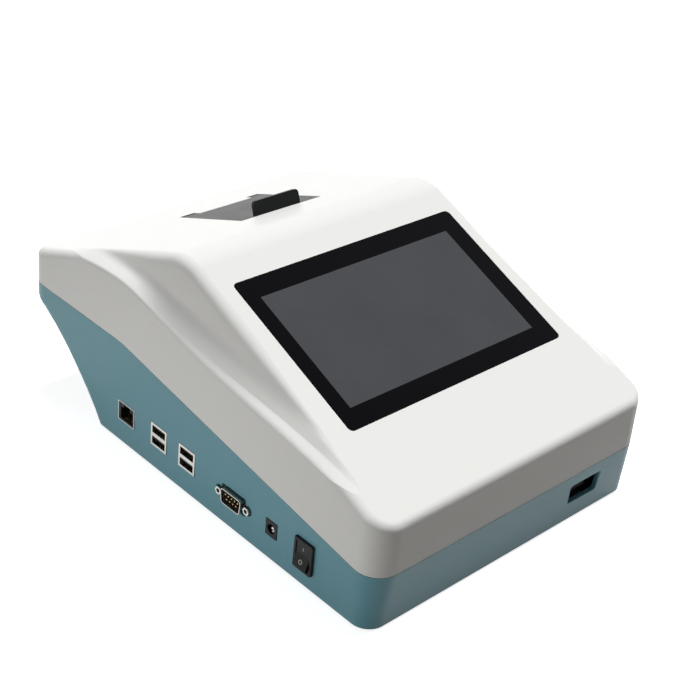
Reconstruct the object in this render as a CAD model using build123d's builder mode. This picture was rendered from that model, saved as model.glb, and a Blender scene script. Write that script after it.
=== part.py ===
from build123d import *
from math import cos, hypot, pi, radians, sin, sqrt, tan
import os

os.makedirs("parts", exist_ok=True)

# ---------------------------------------------------------------------------------------------
# Rapid test reader. Millimetres. X to the right and +Y to the rear as seen from the front,
# Z up. The origin is on the table, under the middle of the housing.
# ---------------------------------------------------------------------------------------------

# Housing: plan at three levels, and the heights where they lie.
foot_height = 2.0
wall = 3.0
base_half_width = 115.2
seam_half_width = 116.0
top_half_width = 114.6
base_front = -162.0
seam_front = -164.5
top_front = -161.7
rear = 164.5
base_corner = 12.0
seam_corner = 16.0
top_corner = 15.0
seam_front_height = 38.5
seam_rear_height = 73.5
top_level = 152.0

# Housing: side profile.
screen_y = -55.5
screen_height = 114.73
slope_angle = 22.0
roof_angle = 21.0
roof_rear_height = 93.3
break_radius = 32.0
rim_radius = 5.5
rear_lean = 8.0
underside_start = 89.5
underside_radius = 171.0
underside_rear_rise = 62.0
seam_rise_start = -150.5
seam_rise_end = 64.5
seam_bend_radius = 90.0
seam_gap = 0.3
level_edge_slope = 0.8
crosswise_slope = 0.99

# Side scallops: the ridge along each wall, the crease above it and the edge of the hood. Just
# inside the ridge the scallop flattens to a shelf, which widens towards the front.
crease_half_width = 105.5
hood_half_width = 103.0
ridge_line = (
    (-155.5, 78.5),
    (-95.5, 89.0),
    (-15.5, 99.5),
    (24.5, 107.5),
    (64.5, 115.5),
    (109.5, 112.3),
    (134.5, 105.6),
)
crease_line = (
    (-155.5, 82.0),
    (-115.5, 91.5),
    (-55.5, 104.0),
    (24.5, 117.8),
    (49.5, 120.3),
    (74.5, 119.0),
    (109.5, 116.0),
    (134.5, 112.0),
)
shelf_line = (
    (-155.5, 6.2),
    (-105.5, 5.6),
    (-45.5, 3.8),
    (24.5, 1.0),
    (134.5, 1.0),
)
shelf_rise_share = 0.2
shelf_softness = 1.5
scallop_front = -150.0
scallop_rear = 142.0
scallop_lift = 0.08
ridge_softness = 3.0
ridge_softness_ends = 8.0
crease_softness = 4.0
hood_softness = 7.0
softness_share = 0.45
station_step = 11.0
break_step = 4.0

# Touch screen.
glass_width = 178.0
glass_height = 113.0
glass_thickness = 1.6
glass_corner = 3.0
glass_offset_x = 1.7
glass_offset_up = 0.4
glass_gap = 0.35
tape_thickness = 0.3
tape_width = 5.0
panel_width = 165.0
panel_height = 100.0
panel_thickness = 5.5
panel_gap = 0.5

display_sheet = 1.5
display_sheet_size = (191.0, 106.0)
display_sheet_corner = 3.0
glass_edge = 0.25
display_boss_x = 91.0
display_boss_y = 46.0
display_boss_radius = 3.5
display_boss_drop = 4.4
display_board_size = (110.0, 70.0)
display_spacer = 3.1
display_spacer_inset = 8.0

# Small screws, used in the display, printer and boards.
screw_radius = 1.4
screw_head_radius = 2.7
screw_head_height = 1.8
screw_hole_radius = 1.6
board_thickness = 1.6
end_gap = 1.0

# Housing screws, their wells and posts, and the feet.
post_places = ((-98.0, -148.0), (105.0, -150.5), (-95.0, 79.0), (95.0, 79.0))
well_radius = 3.4
boss_radius = 5.5
post_radius = 4.5
well_roof = 10.0
housing_screw_bite = 9.0
housing_head_height = 2.2
foot_radius = 8.0
foot_places = ((-88.0, -122.0), (88.0, -122.0), (-88.0, 60.0), (88.0, 60.0))

# Printer, set out from the middle of its lid: x across, y down the roof, z out of it.
lid_x = 6.4
lid_y = 92.4
lid_width = 66.0
lid_front = -32.3
lid_rear = 26.0
lid_thickness = 2.0
lid_rear_chamfer = 1.2
lid_gap = 0.4
tongue_front = 27.1
ear_inner_left = -21.7
ear_inner_right = 23.6
knuckle_radius = 3.6
knuckle_room = 5.0
pivot_y = 30.0
hinge_pin_radius = 1.0
hinge_boss_radius = 1.9
shaft_play = 0.05
seat_play = 0.02
tab_left = -21.7
tab_right = 15.7
tab_height = 9.5
tab_thickness = 2.3
tab_corner = 3.0
cheek_inner = 33.8
cheek_thickness = 2.6
tray_wall = 2.0
printer_depth = 48.0
printer_front = -36.6
printer_rear = 38.6
roof_clearance = 0.3
flange_x = 41.0
flange_front = -31.0
flange_rear = 24.0
flange_drop = 10.0
flange_radius = 4.5
flange_thickness = 3.0
platen_y = -28.0
platen_z = -9.0
platen_radius = 4.0
platen_half_length = 26.0
shaft_radius = 1.5
arm_thickness = 1.8
arm_radius = 3.4
arm_gap = 0.5
gear_module = 0.6
tooth_rise = 0.85
tooth_depth = 1.2
tooth_root_share = 0.31
tooth_tip_share = 0.12
gear_width = 3.0
gear_start = 29.0
platen_teeth = 16
idler_teeth = 20
pinion_teeth = 12
gear_backlash = 0.05
idler_direction = -74.0
pinion_direction = -38.0
head_gap = 0.4
head_top_drop = 5.0
head_thickness = 2.2
printer_motor_radius = 10.0
printer_motor_length = 18.0
pinion_shaft_radius = 1.0

# Card reader: slot, carriage, rods, screw and optics.
slot_x = 64.8
slot_z = 22.4
slot_width = 28.4
slot_height = 14.4
slot_corner = 2.0
slot_chamfer = 1.3
tray_corner = 2.0
tray_width = 24.0
tray_height = 10.4
tray_length = 94.0
tray_drop = 0.4
tray_set_back = 7.5
pocket_width = 20.4
pocket_length = 71.0
pocket_depth = 6.0
pocket_margin = 3.5
slider_length = 22.0
slider_left = 38.8
slider_right = 101.0
slider_bottom = 13.4
slider_top = 29.4
carriage_travel = 75.0
rod_radius = 2.5
rod_spread = 19.0
bush_radius = 4.0
rod_block_width = 10.0
rod_block_length = 8.0
rod_block_top = 28.0
rod_grip = 6.0
rod_span = 112.0
block_gap = 3.0
reader_base_thickness = 2.0
reader_base_left = 34.0
reader_base_right = 108.0
reader_base_rear = 31.0
reader_base_notch = 98.0
screw_x = 95.0
screw_grip = 4.0
lead_screw_radius = 3.0
nut_radius = 5.0
nut_flange_radius = 8.0
nut_flange = 3.0
screw_block_width = 12.0
screw_block_length = 6.0
screw_block_top = 30.0
coupling_radius = 7.0
coupling_length = 18.0
motor_side = 28.0
motor_length = 30.0
motor_boss_radius = 11.0
motor_boss = 2.0
motor_shaft_radius = 2.5
motor_plate = 3.0
motor_foot = 1.2
motor_corner = 3.0
motor_boss_gap = 0.2
motor_shaft_grip = 5.0
optics_front = -128.0
optics_rear = -98.0
optics_leg = 3.0
optics_height = 33.0
optics_plate = 3.0
head_body = (34.0, 30.0, 24.0)
head_body_corner = 2.5
snout_radius = 8.5
snout_bottom = 31.5
lens_radius = 6.0
lens_thickness = 3.0
home_switch_width = 10.0
home_switch_depth = 6.0
home_switch_set_back = 1.5
home_switch_drop = 4.0
switch_lever = 3.0
switch_lever_gap = 0.3

# Electronics and the connectors in the left wall: centre along y, then sizes along y and z.
board_left = -111.4
board_right = -32.0
board_front = -92.0
board_rear = 71.0
board_top = 18.2
standoff_middle = (-62.0, -10.0)
standoff_pitch = (44.0, 74.0)
standoff_radius = 3.0
sink_side = 28.0
sink_base = 3.0
fin_count = 7
fin_pitch = 4.3
fin_thickness = 1.4
fin_height = 7.0
port_face = -116.0
port_gap = 0.3
window_corner = 0.6
insert_set_back = 0.4
ethernet_y = 56.7
ethernet_width = 16.3
ethernet_height = 13.8
ethernet_depth = 21.4
metal_skin = 0.5
jack_opening = (12.0, 8.4)
jack_opening_rise = 1.0
jack_latch = (6.4, 3.0)
jack_opening_depth = 14.0
usb_rear_y = 23.7
usb_front_y = -3.7
usb_width = 15.4
usb_height = 16.0
usb_depth = 17.5
usb_slot = (12.5, 5.2)
usb_slot_pitch = 7.8
usb_tongue = (11.1, 1.9)
usb_tongue_drop = 0.6
usb_tongue_set_back = 1.2
usb_back = 3.0
serial_y = -47.75
serial_z = 23.3
serial_screw_pitch = 24.99
serial_flange = (30.8, 12.5)
serial_flange_corner = 1.5
serial_flange_thickness = 1.0
serial_flange_gap = 0.2
serial_window = (21.8, 12.6)
serial_shell_top = 9.2
serial_shell_bottom = 8.2
serial_shell_rise = 5.1
serial_shell_reach = 5.9
serial_shell_corner = 2.2
serial_insert_set_back = 4.9
serial_body_depth = 11.0
serial_pin_radius = 0.5
serial_pin_pitch = 2.77
serial_row_pitch = 2.84
jack_screw_radius = 2.74
jack_screw_reach = 4.8
jack_thread_radius = 1.42
inlet_y = -81.4
inlet_width = 9.5
inlet_height = 11.0
inlet_depth = 14.4
inlet_bore_radius = 3.1
inlet_bore_depth = 10.0
inlet_pin_radius = 1.0
rocker_y = -109.7
rocker_z = 23.2
bezel_width = 15.5
bezel_height = 21.5
bezel_thickness = 1.7
bezel_corner = 1.5
bezel_edge = 0.5
switch_width = 12.9
switch_height = 19.2
switch_depth = 18.0
rocker_width = 10.6
rocker_height = 16.0
rocker_gap = 0.45
rocker_tilt = 9.0
rocker_back = 2.5
rocker_back_share = 0.55
rocker_shoulder = 1.5
rocker_rise = 0.9
rocker_edge = 0.4
rocker_pivot_depth = 3.6
trunnion_radius = 1.2
trunnion_end_gap = 0.1
terminal_size = (6.3, 0.8)
terminal_length = 8.0

front_out = -200.0
rear_out = 200.0
side_out = 130.0
roof_out = 175.0


def rise(angle):
    return tan(radians(angle))


def level_value(z, base_value, seam_value, top_value):
    """A plan size at height z, between the three levels."""
    if z < seam_front_height:
        share = (z - foot_height) / (seam_front_height - foot_height)
        return base_value + share * (seam_value - base_value)
    share = (z - seam_front_height) / (top_level - seam_front_height)
    return seam_value + share * (top_value - seam_value)


def side_x(z):
    return level_value(z, base_half_width, seam_half_width, top_half_width)


def front_y(z):
    return level_value(z, base_front, seam_front, top_front)


def slope_height(y, inset=0.0):
    return screen_height + (y - screen_y) * rise(slope_angle) - inset / cos(radians(slope_angle))


def roof_height(y, inset=0.0):
    return roof_rear_height + (rear - y) * rise(roof_angle) - inset / cos(radians(roof_angle))


# The rounded break between slope and roof is one arc about this centre.
break_y = (
    roof_height(0, break_radius) - slope_height(0, break_radius)
) / (rise(slope_angle) + rise(roof_angle))
break_z = slope_height(break_y, break_radius)


def top_height(y, inset=0.0):
    """Height of slope, rounded break or roof at y."""
    radius = break_radius - inset
    if y < break_y - radius * sin(radians(slope_angle)):
        return slope_height(y, inset)
    if y > break_y + radius * sin(radians(roof_angle)):
        return roof_height(y, inset)
    return break_z + sqrt(radius**2 - (y - break_y) ** 2)


def along(y, line):
    """Height of a smooth line through named points, by cubic pieces with matched slopes."""
    last = len(line) - 1
    slopes = []
    for i in range(last + 1):
        low, high = line[max(i - 1, 0)], line[min(i + 1, last)]
        slopes.append((high[1] - low[1]) / (high[0] - low[0]))
    i = max(k for k in range(last) if k == 0 or line[k][0] <= y)
    (y0, z0), (y1, z1) = line[i], line[i + 1]
    span = y1 - y0
    s = (y - y0) / span
    blend_out = 2 * s**3 - 3 * s**2 + 1
    blend_in = 3 * s**2 - 2 * s**3
    lead_out = s**3 - 2 * s**2 + s
    lead_in = s**3 - s**2
    return blend_out * z0 + blend_in * z1 + span * (lead_out * slopes[i] + lead_in * slopes[i + 1])


# The hollow underside is an arc from the edge of the base up to the rear wall.
underside_run = rear - underside_start
underside_chord = hypot(underside_run, underside_rear_rise)
underside_reach = sqrt(underside_radius**2 - (underside_chord / 2) ** 2)
underside_centre = (
    underside_start + underside_run / 2 + underside_reach * underside_rear_rise / underside_chord,
    foot_height + underside_rear_rise / 2 - underside_reach * underside_run / underside_chord,
)


def envelope(inset=0.0):
    """Plan levels lofted, cut by the side profile and hollowed under the rear."""
    levels = (
        (foot_height + inset, base_half_width, base_front, base_corner),
        (seam_front_height, seam_half_width, seam_front, seam_corner),
        (top_level, top_half_width, top_front, top_corner),
    )
    with BuildPart() as form:
        for z, half_width, front, corner in levels:
            with BuildSketch(Plane.XY.offset(z)):
                with Locations((0, (front + rear) / 2)):
                    RectangleRounded(2 * (half_width - inset), rear - front - 2 * inset, corner - inset)
        loft(ruled=True)
        lean_y = rear - inset - (roof_out - seam_rear_height) * rise(rear_lean)
        with BuildSketch(Plane.YZ):
            with BuildLine():
                Polyline(
                    (front_out, foot_height),
                    (rear - inset, foot_height),
                    (rear - inset, seam_rear_height),
                    (lean_y, roof_out),
                    (front_out, roof_out),
                    close=True,
                )
            make_face()
        extrude(amount=side_out, both=True, mode=Mode.INTERSECT)
        with BuildSketch(Plane.YZ):
            with BuildLine():
                radius = break_radius - inset
                arc_front_y = break_y - radius * sin(radians(slope_angle))
                arc_rear_y = break_y + radius * sin(radians(roof_angle))
                Polyline(
                    (arc_rear_y, top_height(arc_rear_y, inset)),
                    (rear_out, roof_height(rear_out, inset)),
                    (rear_out, -roof_out),
                    (front_out, -roof_out),
                    (front_out, slope_height(front_out, inset)),
                    (arc_front_y, top_height(arc_front_y, inset)),
                )
                ThreePointArc(
                    (arc_front_y, top_height(arc_front_y, inset)),
                    (break_y, break_z + radius),
                    (arc_rear_y, top_height(arc_rear_y, inset)),
                )
            make_face()
        extrude(amount=side_out, both=True, mode=Mode.INTERSECT)
        with BuildSketch(Plane.YZ):
            with Locations(underside_centre):
                Circle(underside_radius + inset)
        extrude(amount=side_out, both=True, mode=Mode.SUBTRACT)
    return form.part


def scallop_tool(inset=0.0):
    """What is cut from above the ridge, outside the hood, on the right-hand side."""
    stations = []
    y = scallop_front
    while y < scallop_rear:
        stations.append(y)
        y += break_step if abs(y - break_y) < break_radius / 2 else station_step
    stations.append(scallop_rear)
    with BuildPart() as tool:
        for y in stations:
            top = top_height(y, inset) + scallop_lift
            ridge_z = min(along(y, ridge_line) - inset, top)
            crease_z = min(along(y, crease_line) - inset, top)
            ridge = Vector(side_x(ridge_z) - inset + scallop_lift, ridge_z)
            crease = Vector(crease_half_width - inset, crease_z)
            hood = Vector(hood_half_width - inset, top)
            below = ridge + Vector(scallop_lift, -2 * ridge_softness_ends)
            shelf_share = along(y, shelf_line) / (ridge.X - crease.X)
            shelf_rise = (crease.Y - ridge.Y) * shelf_share * shelf_rise_share
            shelf = ridge + Vector(-along(y, shelf_line), shelf_rise)
            inside = hood - Vector(2 * hood_softness, 0)
            spread = min(1.0, abs(y - break_y) / (scallop_rear - break_y)) ** 2
            softness = ridge_softness + spread * (ridge_softness_ends - ridge_softness)
            lower_run = (crease - shelf).length
            upper_run = (hood - crease).length
            t0 = min(shelf_softness, softness_share * lower_run)
            t1 = min(softness, softness_share * lower_run)
            t2 = min(crease_softness, softness_share * lower_run, softness_share * upper_run)
            t3 = min(hood_softness, softness_share * upper_run)
            lower = (crease - shelf).normalized()
            upper = (hood - crease).normalized()
            start = (ridge - below).normalized()
            finish = (inside - hood).normalized()
            with BuildSketch(Plane.XZ.offset(-y)):
                with BuildLine():
                    Line(below, ridge - start * t1)
                    Bezier(ridge - start * t1, ridge, shelf, shelf + lower * t0)
                    Line(shelf + lower * t0, crease - lower * t2)
                    Bezier(crease - lower * t2, crease, crease + upper * t2)
                    Line(crease + upper * t2, hood - upper * t3)
                    Bezier(hood - upper * t3, hood, hood + finish * t3)
                    Line(hood + finish * t3, inside)
                    Polyline(inside, (inside.X, roof_out), (side_out, roof_out), (side_out, below.Y), below)
                make_face()
        loft(ruled=True)
    return tool.part


def below_seam(lift=0.0):
    """Everything under the parting line, which climbs from the front to the rear."""
    with BuildPart() as block:
        with BuildSketch(Plane.YZ) as side:
            with BuildLine():
                Polyline(
                    (front_out, seam_front_height + lift),
                    (seam_rise_start, seam_front_height + lift),
                    (seam_rise_end, seam_rear_height + lift),
                    (rear_out, seam_rear_height + lift),
                    (rear_out, -roof_out),
                    (front_out, -roof_out),
                    close=True,
                )
            make_face()
            bends = side.vertices().filter_by_position(Axis.X, seam_rise_start - 1, seam_rise_end + 1)
            fillet(bends, seam_bend_radius)
        extrude(amount=side_out, both=True)
    return block.part


def is_rim(edge):
    """True on the edges where slope, break and roof meet the walls."""
    middle = edge.center()
    direction = edge.tangent_at(0.5)
    if middle.Z < level_edge_slope * seam_rear_height or abs(direction.Z) > level_edge_slope:
        return False
    crosswise = abs(direction.X) > crosswise_slope
    return not (crosswise and abs(middle.Y - break_y) < break_radius)


def outer_form():
    """The whole housing's skin, with its soft rim and both scallops."""
    with BuildPart() as form:
        add(envelope())
        fillet(form.edges().filter_by(is_rim), rim_radius)
        add(scallop_tool(), mode=Mode.SUBTRACT)
        add(mirror(scallop_tool(), about=Plane.YZ, mode=Mode.PRIVATE), mode=Mode.SUBTRACT)
    return form.part


def inner_form():
    """The hollow inside, one wall thickness in."""
    with BuildPart() as form:
        add(envelope(wall))
        add(scallop_tool(wall), mode=Mode.SUBTRACT)
        add(mirror(scallop_tool(wall), about=Plane.YZ, mode=Mode.PRIVATE), mode=Mode.SUBTRACT)
    return form.part


skin = outer_form()
hollow = inner_form()
floor_top = foot_height + wall
standing = (Align.CENTER, Align.CENTER, Align.MIN)
roof_plane = Plane(
    origin=(lid_x, lid_y, roof_height(lid_y)),
    x_dir=(1, 0, 0),
    z_dir=(0, sin(radians(roof_angle)), cos(radians(roof_angle))),
)
slope_plane = Plane(
    origin=(0, screen_y, screen_height),
    x_dir=(1, 0, 0),
    z_dir=(0, -sin(radians(slope_angle)), cos(radians(slope_angle))),
)
recess_depth = glass_thickness + tape_thickness
window_width = panel_width + 2 * panel_gap
window_height = panel_height + 2 * panel_gap
display_back = -recess_depth - panel_thickness
pivot_z = -knuckle_radius
cheek_outer = cheek_inner + cheek_thickness
flange_places = (
    (-flange_x, flange_front),
    (flange_x, flange_front),
    (-flange_x, flange_rear),
    (flange_x, flange_rear),
)
display_places = GridLocations(2 * display_boss_x, 2 * display_boss_y, 2, 2)


def seam_height(y):
    """Height of the parting line, before its bends are rounded."""
    share = (y - seam_rise_start) / (seam_rise_end - seam_rise_start)
    share = min(1.0, max(0.0, share))
    return seam_front_height + share * (seam_rear_height - seam_front_height)


def well_top(y):
    return seam_height(y) - well_roof


# --- Upper housing: skin above the seam, screen recess, printer opening, bosses and posts -----
with BuildPart() as upper_housing:
    add(skin)
    add(hollow, mode=Mode.SUBTRACT)
    add(below_seam(seam_gap), mode=Mode.SUBTRACT)
    for x, y in post_places:
        post_bottom = seam_height(y) + 2 * seam_gap
        post_length = top_height(y) - wall - post_bottom
        with Locations((x, y, post_bottom)):
            Cylinder(post_radius, post_length, align=standing)
            Cylinder(screw_radius, housing_screw_bite, align=standing, mode=Mode.SUBTRACT)
    with BuildSketch(slope_plane):
        with Locations((glass_offset_x, glass_offset_up)):
            RectangleRounded(
                glass_width + 2 * glass_gap,
                glass_height + 2 * glass_gap,
                glass_corner + glass_gap,
            )
    extrude(amount=-recess_depth, mode=Mode.SUBTRACT)
    with BuildSketch(slope_plane.offset(-wall * 2)):
        with Locations((glass_offset_x, glass_offset_up)):
            Rectangle(window_width, window_height)
    extrude(amount=wall * 2, mode=Mode.SUBTRACT)
    with BuildSketch(slope_plane.offset(-wall - display_boss_drop)):
        with display_places:
            Circle(display_boss_radius)
    extrude(amount=display_boss_drop + (wall - recess_depth) / 2)
    with BuildSketch(slope_plane.offset(-wall - display_boss_drop)):
        with display_places:
            Circle(screw_radius)
    extrude(amount=display_boss_drop, mode=Mode.SUBTRACT)
    with BuildSketch(roof_plane.offset(-2 * wall)):
        opening_half = lid_width / 2 + lid_gap
        with BuildLine():
            Polyline(
                (-opening_half, lid_front - lid_gap),
                (opening_half, lid_front - lid_gap),
                (opening_half, pivot_y),
                (ear_inner_right - lid_gap, pivot_y),
                (ear_inner_right - lid_gap, tongue_front),
                (ear_inner_left + lid_gap, tongue_front),
                (ear_inner_left + lid_gap, pivot_y),
                (-opening_half, pivot_y),
                close=True,
            )
        make_face()
    extrude(amount=3 * wall, mode=Mode.SUBTRACT)
    boss_room = hinge_boss_radius + roof_clearance
    boss_room_end = cheek_outer + roof_clearance
    hinge_rooms = (
        (-boss_room_end, -opening_half, boss_room),
        (-opening_half, ear_inner_left + lid_gap, knuckle_room),
        (ear_inner_right - lid_gap, opening_half, knuckle_room),
        (opening_half, boss_room_end, boss_room),
    )
    for x_low, x_high, room_radius in hinge_rooms:
        room_plane = Plane(roof_plane.from_local_coords((x_low, pivot_y, pivot_z)), z_dir=(1, 0, 0))
        with BuildSketch(room_plane):
            Circle(room_radius)
        extrude(amount=x_high - x_low, mode=Mode.SUBTRACT)
    with BuildSketch(roof_plane.offset(-flange_drop)):
        with Locations(*flange_places):
            Circle(flange_radius)
    extrude(amount=flange_drop - wall / 2)
    with BuildSketch(roof_plane.offset(-flange_drop)):
        with Locations(*flange_places):
            Circle(screw_radius)
    extrude(amount=flange_drop - wall, mode=Mode.SUBTRACT)


# --- Lower housing: skin below the seam, screw wells, slot and port cut-outs -------------------
def wall_window(y, z, width, height, corner):
    """A rounded window through the left wall."""
    with BuildPart(mode=Mode.PRIVATE) as window:
        with BuildSketch(Plane.YZ.offset(-side_out)):
            with Locations((y, z)):
                RectangleRounded(width + 2 * port_gap, height + 2 * port_gap, corner)
        extrude(amount=side_out - base_half_width + wall)
    return window.part


jack_centres = [(serial_y + k * serial_screw_pitch / 2, serial_z) for k in (-1, 1)]
ethernet_z = board_top + ethernet_height / 2
usb_z = board_top + usb_height / 2
inlet_z = board_top + inlet_height / 2
port_windows = (
    (ethernet_y, ethernet_z, ethernet_width, ethernet_height, window_corner),
    (usb_rear_y, usb_z, usb_width, usb_height, window_corner),
    (usb_front_y, usb_z, usb_width, usb_height, window_corner),
    (inlet_y, inlet_z, inlet_width, inlet_height, window_corner),
    (rocker_y, rocker_z, switch_width, switch_height, window_corner),
)
with BuildPart() as lower_housing:
    add(skin)
    add(hollow, mode=Mode.SUBTRACT)
    add(below_seam(), mode=Mode.INTERSECT)
    for x, y in post_places:
        boss_height = seam_height(y) - foot_height
        with Locations((x, y, foot_height)):
            Cylinder(boss_radius, boss_height, align=standing)
            Cylinder(screw_hole_radius, boss_height, align=standing, mode=Mode.SUBTRACT)
            Cylinder(well_radius, well_top(y) - foot_height, align=standing, mode=Mode.SUBTRACT)
    for window in port_windows:
        add(wall_window(*window), mode=Mode.SUBTRACT)
    with BuildSketch(Plane.YZ.offset(-side_out)):
        with Locations((serial_y, serial_z + port_gap)):
            RectangleRounded(*serial_window, serial_flange_corner)
        with Locations((serial_y, serial_z)):
            Rectangle(serial_screw_pitch, jack_screw_radius * 2)
        with Locations(*jack_centres):
            Circle(jack_screw_radius + 3 * port_gap)
    extrude(amount=side_out - base_half_width + wall, mode=Mode.SUBTRACT)
    slot_face = front_y(slot_z)
    with BuildSketch(Plane.XZ.offset(-slot_face + wall)):
        with Locations((slot_x, slot_z)):
            RectangleRounded(slot_width - slot_chamfer, slot_height - slot_chamfer, slot_corner)
    extrude(amount=-3 * wall, mode=Mode.SUBTRACT)
    with BuildSketch(Plane.XZ.offset(-slot_face + slot_chamfer)):
        with Locations((slot_x, slot_z)):
            RectangleRounded(slot_width + 2 * slot_chamfer, slot_height + 2 * slot_chamfer, slot_corner)
    extrude(amount=-2 * slot_chamfer, taper=45, mode=Mode.SUBTRACT)

# --- Feet and housing screws ---------------------------------------------------------------------
with BuildPart() as rubber_feet:
    with BuildSketch():
        with Locations(*foot_places):
            Circle(foot_radius)
    extrude(amount=foot_height)
    chamfer(rubber_feet.edges().group_by(Axis.Z)[0], foot_height / 4)

with BuildPart() as housing_screws:
    for x, y in post_places:
        with BuildSketch(Plane.XY.offset(well_top(y) - housing_head_height)):
            with Locations((x, y)):
                Circle(screw_head_radius)
        extrude(amount=housing_head_height)
        with BuildSketch(Plane.XY.offset(well_top(y) - housing_head_height)):
            with Locations((x, y)):
                Circle(screw_radius)
        extrude(amount=housing_head_height + well_roof + housing_screw_bite - end_gap)

# --- Touch screen ---------------------------------------------------------------------------------
glass_centre = (glass_offset_x, glass_offset_up)
with BuildPart() as touch_glass:
    with BuildSketch(slope_plane.offset(-glass_thickness)):
        with Locations(glass_centre):
            RectangleRounded(glass_width, glass_height, glass_corner)
    extrude(amount=glass_thickness)
    chamfer(touch_glass.faces().sort_by(Axis(slope_plane.origin, slope_plane.z_dir))[-1].edges(), glass_edge)

with BuildPart() as display_tape:
    with BuildSketch(slope_plane.offset(-recess_depth)):
        with Locations(glass_centre):
            Rectangle(window_width + 2 * tape_width, window_height + 2 * tape_width)
            Rectangle(window_width, window_height, mode=Mode.SUBTRACT)
    extrude(amount=tape_thickness)

with BuildPart() as lcd_panel:
    with BuildSketch(slope_plane.offset(display_back)):
        with Locations(glass_centre):
            Rectangle(panel_width, panel_height)
    extrude(amount=panel_thickness)

with BuildPart() as display_bracket:
    with BuildSketch(slope_plane.offset(display_back - display_sheet)):
        RectangleRounded(*display_sheet_size, display_sheet_corner)
        with display_places:
            Circle(screw_hole_radius, mode=Mode.SUBTRACT)
    extrude(amount=display_sheet)
    with BuildSketch(slope_plane.offset(display_back - display_sheet - display_spacer)):
        with GridLocations(
            display_board_size[0] - display_spacer_inset,
            display_board_size[1] - display_spacer_inset,
            2,
            2,
        ):
            Circle(display_boss_radius)
    extrude(amount=display_spacer)

with BuildPart() as display_board:
    with BuildSketch(slope_plane.offset(display_back - display_sheet - display_spacer - board_thickness)):
        Rectangle(*display_board_size)
    extrude(amount=board_thickness)

with BuildPart() as display_screws:
    with BuildSketch(slope_plane.offset(display_back - display_sheet - screw_head_height)):
        with display_places:
            Circle(screw_head_radius)
    extrude(amount=screw_head_height)
    with BuildSketch(slope_plane.offset(display_back - display_sheet - screw_head_height)):
        with display_places:
            Circle(screw_radius)
    extrude(amount=screw_head_height + display_sheet + display_boss_drop - end_gap)


# --- Printer -------------------------------------------------------------------------------------
def across(x, y, z):
    """A plane square to the printer's width at a local point, for shafts and gears."""
    return Plane(roof_plane.from_local_coords((x, y, z)), x_dir=roof_plane.y_dir, z_dir=(1, 0, 0))


def rod(x_low, x_high, y, z, radius, mode=Mode.ADD):
    """A round bar along the printer's width."""
    with BuildSketch(across(x_low, y, z)) as profile:
        Circle(radius)
    extrude(profile.sketch, amount=x_high - x_low, mode=mode)


def gear(teeth, x_low, y, z, phase, bore):
    """A spur gear with straight-sided teeth and a bore."""
    pitch_radius = teeth * gear_module / 2
    tip = pitch_radius + tooth_rise * gear_module
    root = pitch_radius - tooth_depth * gear_module
    pitch_angle = 2 * pi / teeth
    outline = []
    for k in range(teeth):
        middle = k * pitch_angle + phase
        for radius, share in (
            (root, -tooth_root_share),
            (tip, -tooth_tip_share),
            (tip, tooth_tip_share),
            (root, tooth_root_share),
        ):
            angle = middle + share * pitch_angle
            outline.append((radius * cos(angle), radius * sin(angle)))
    with BuildSketch(across(x_low, y, z)) as profile:
        with BuildLine():
            Polyline(*outline, close=True)
        make_face()
        Circle(bore, mode=Mode.SUBTRACT)
    extrude(profile.sketch, amount=gear_width)


platen_pitch = platen_teeth * gear_module / 2
idler_pitch = idler_teeth * gear_module / 2
pinion_pitch = pinion_teeth * gear_module / 2
idler_reach = platen_pitch + idler_pitch + gear_backlash
idler_y = platen_y + idler_reach * cos(radians(idler_direction))
idler_z = platen_z + idler_reach * sin(radians(idler_direction))
pinion_reach = idler_pitch + pinion_pitch + gear_backlash
pinion_y = idler_y + pinion_reach * cos(radians(pinion_direction))
pinion_z = idler_z + pinion_reach * sin(radians(pinion_direction))
platen_phase = radians(idler_direction)
idler_phase = radians(idler_direction) + pi + pi / idler_teeth
# The pinion meets the idler where one of the idler's teeth may stand, so its own phase follows.
idler_lead = (radians(pinion_direction) - idler_phase) * idler_teeth / pinion_teeth
pinion_phase = radians(pinion_direction) + pi + pi / pinion_teeth + idler_lead

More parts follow.
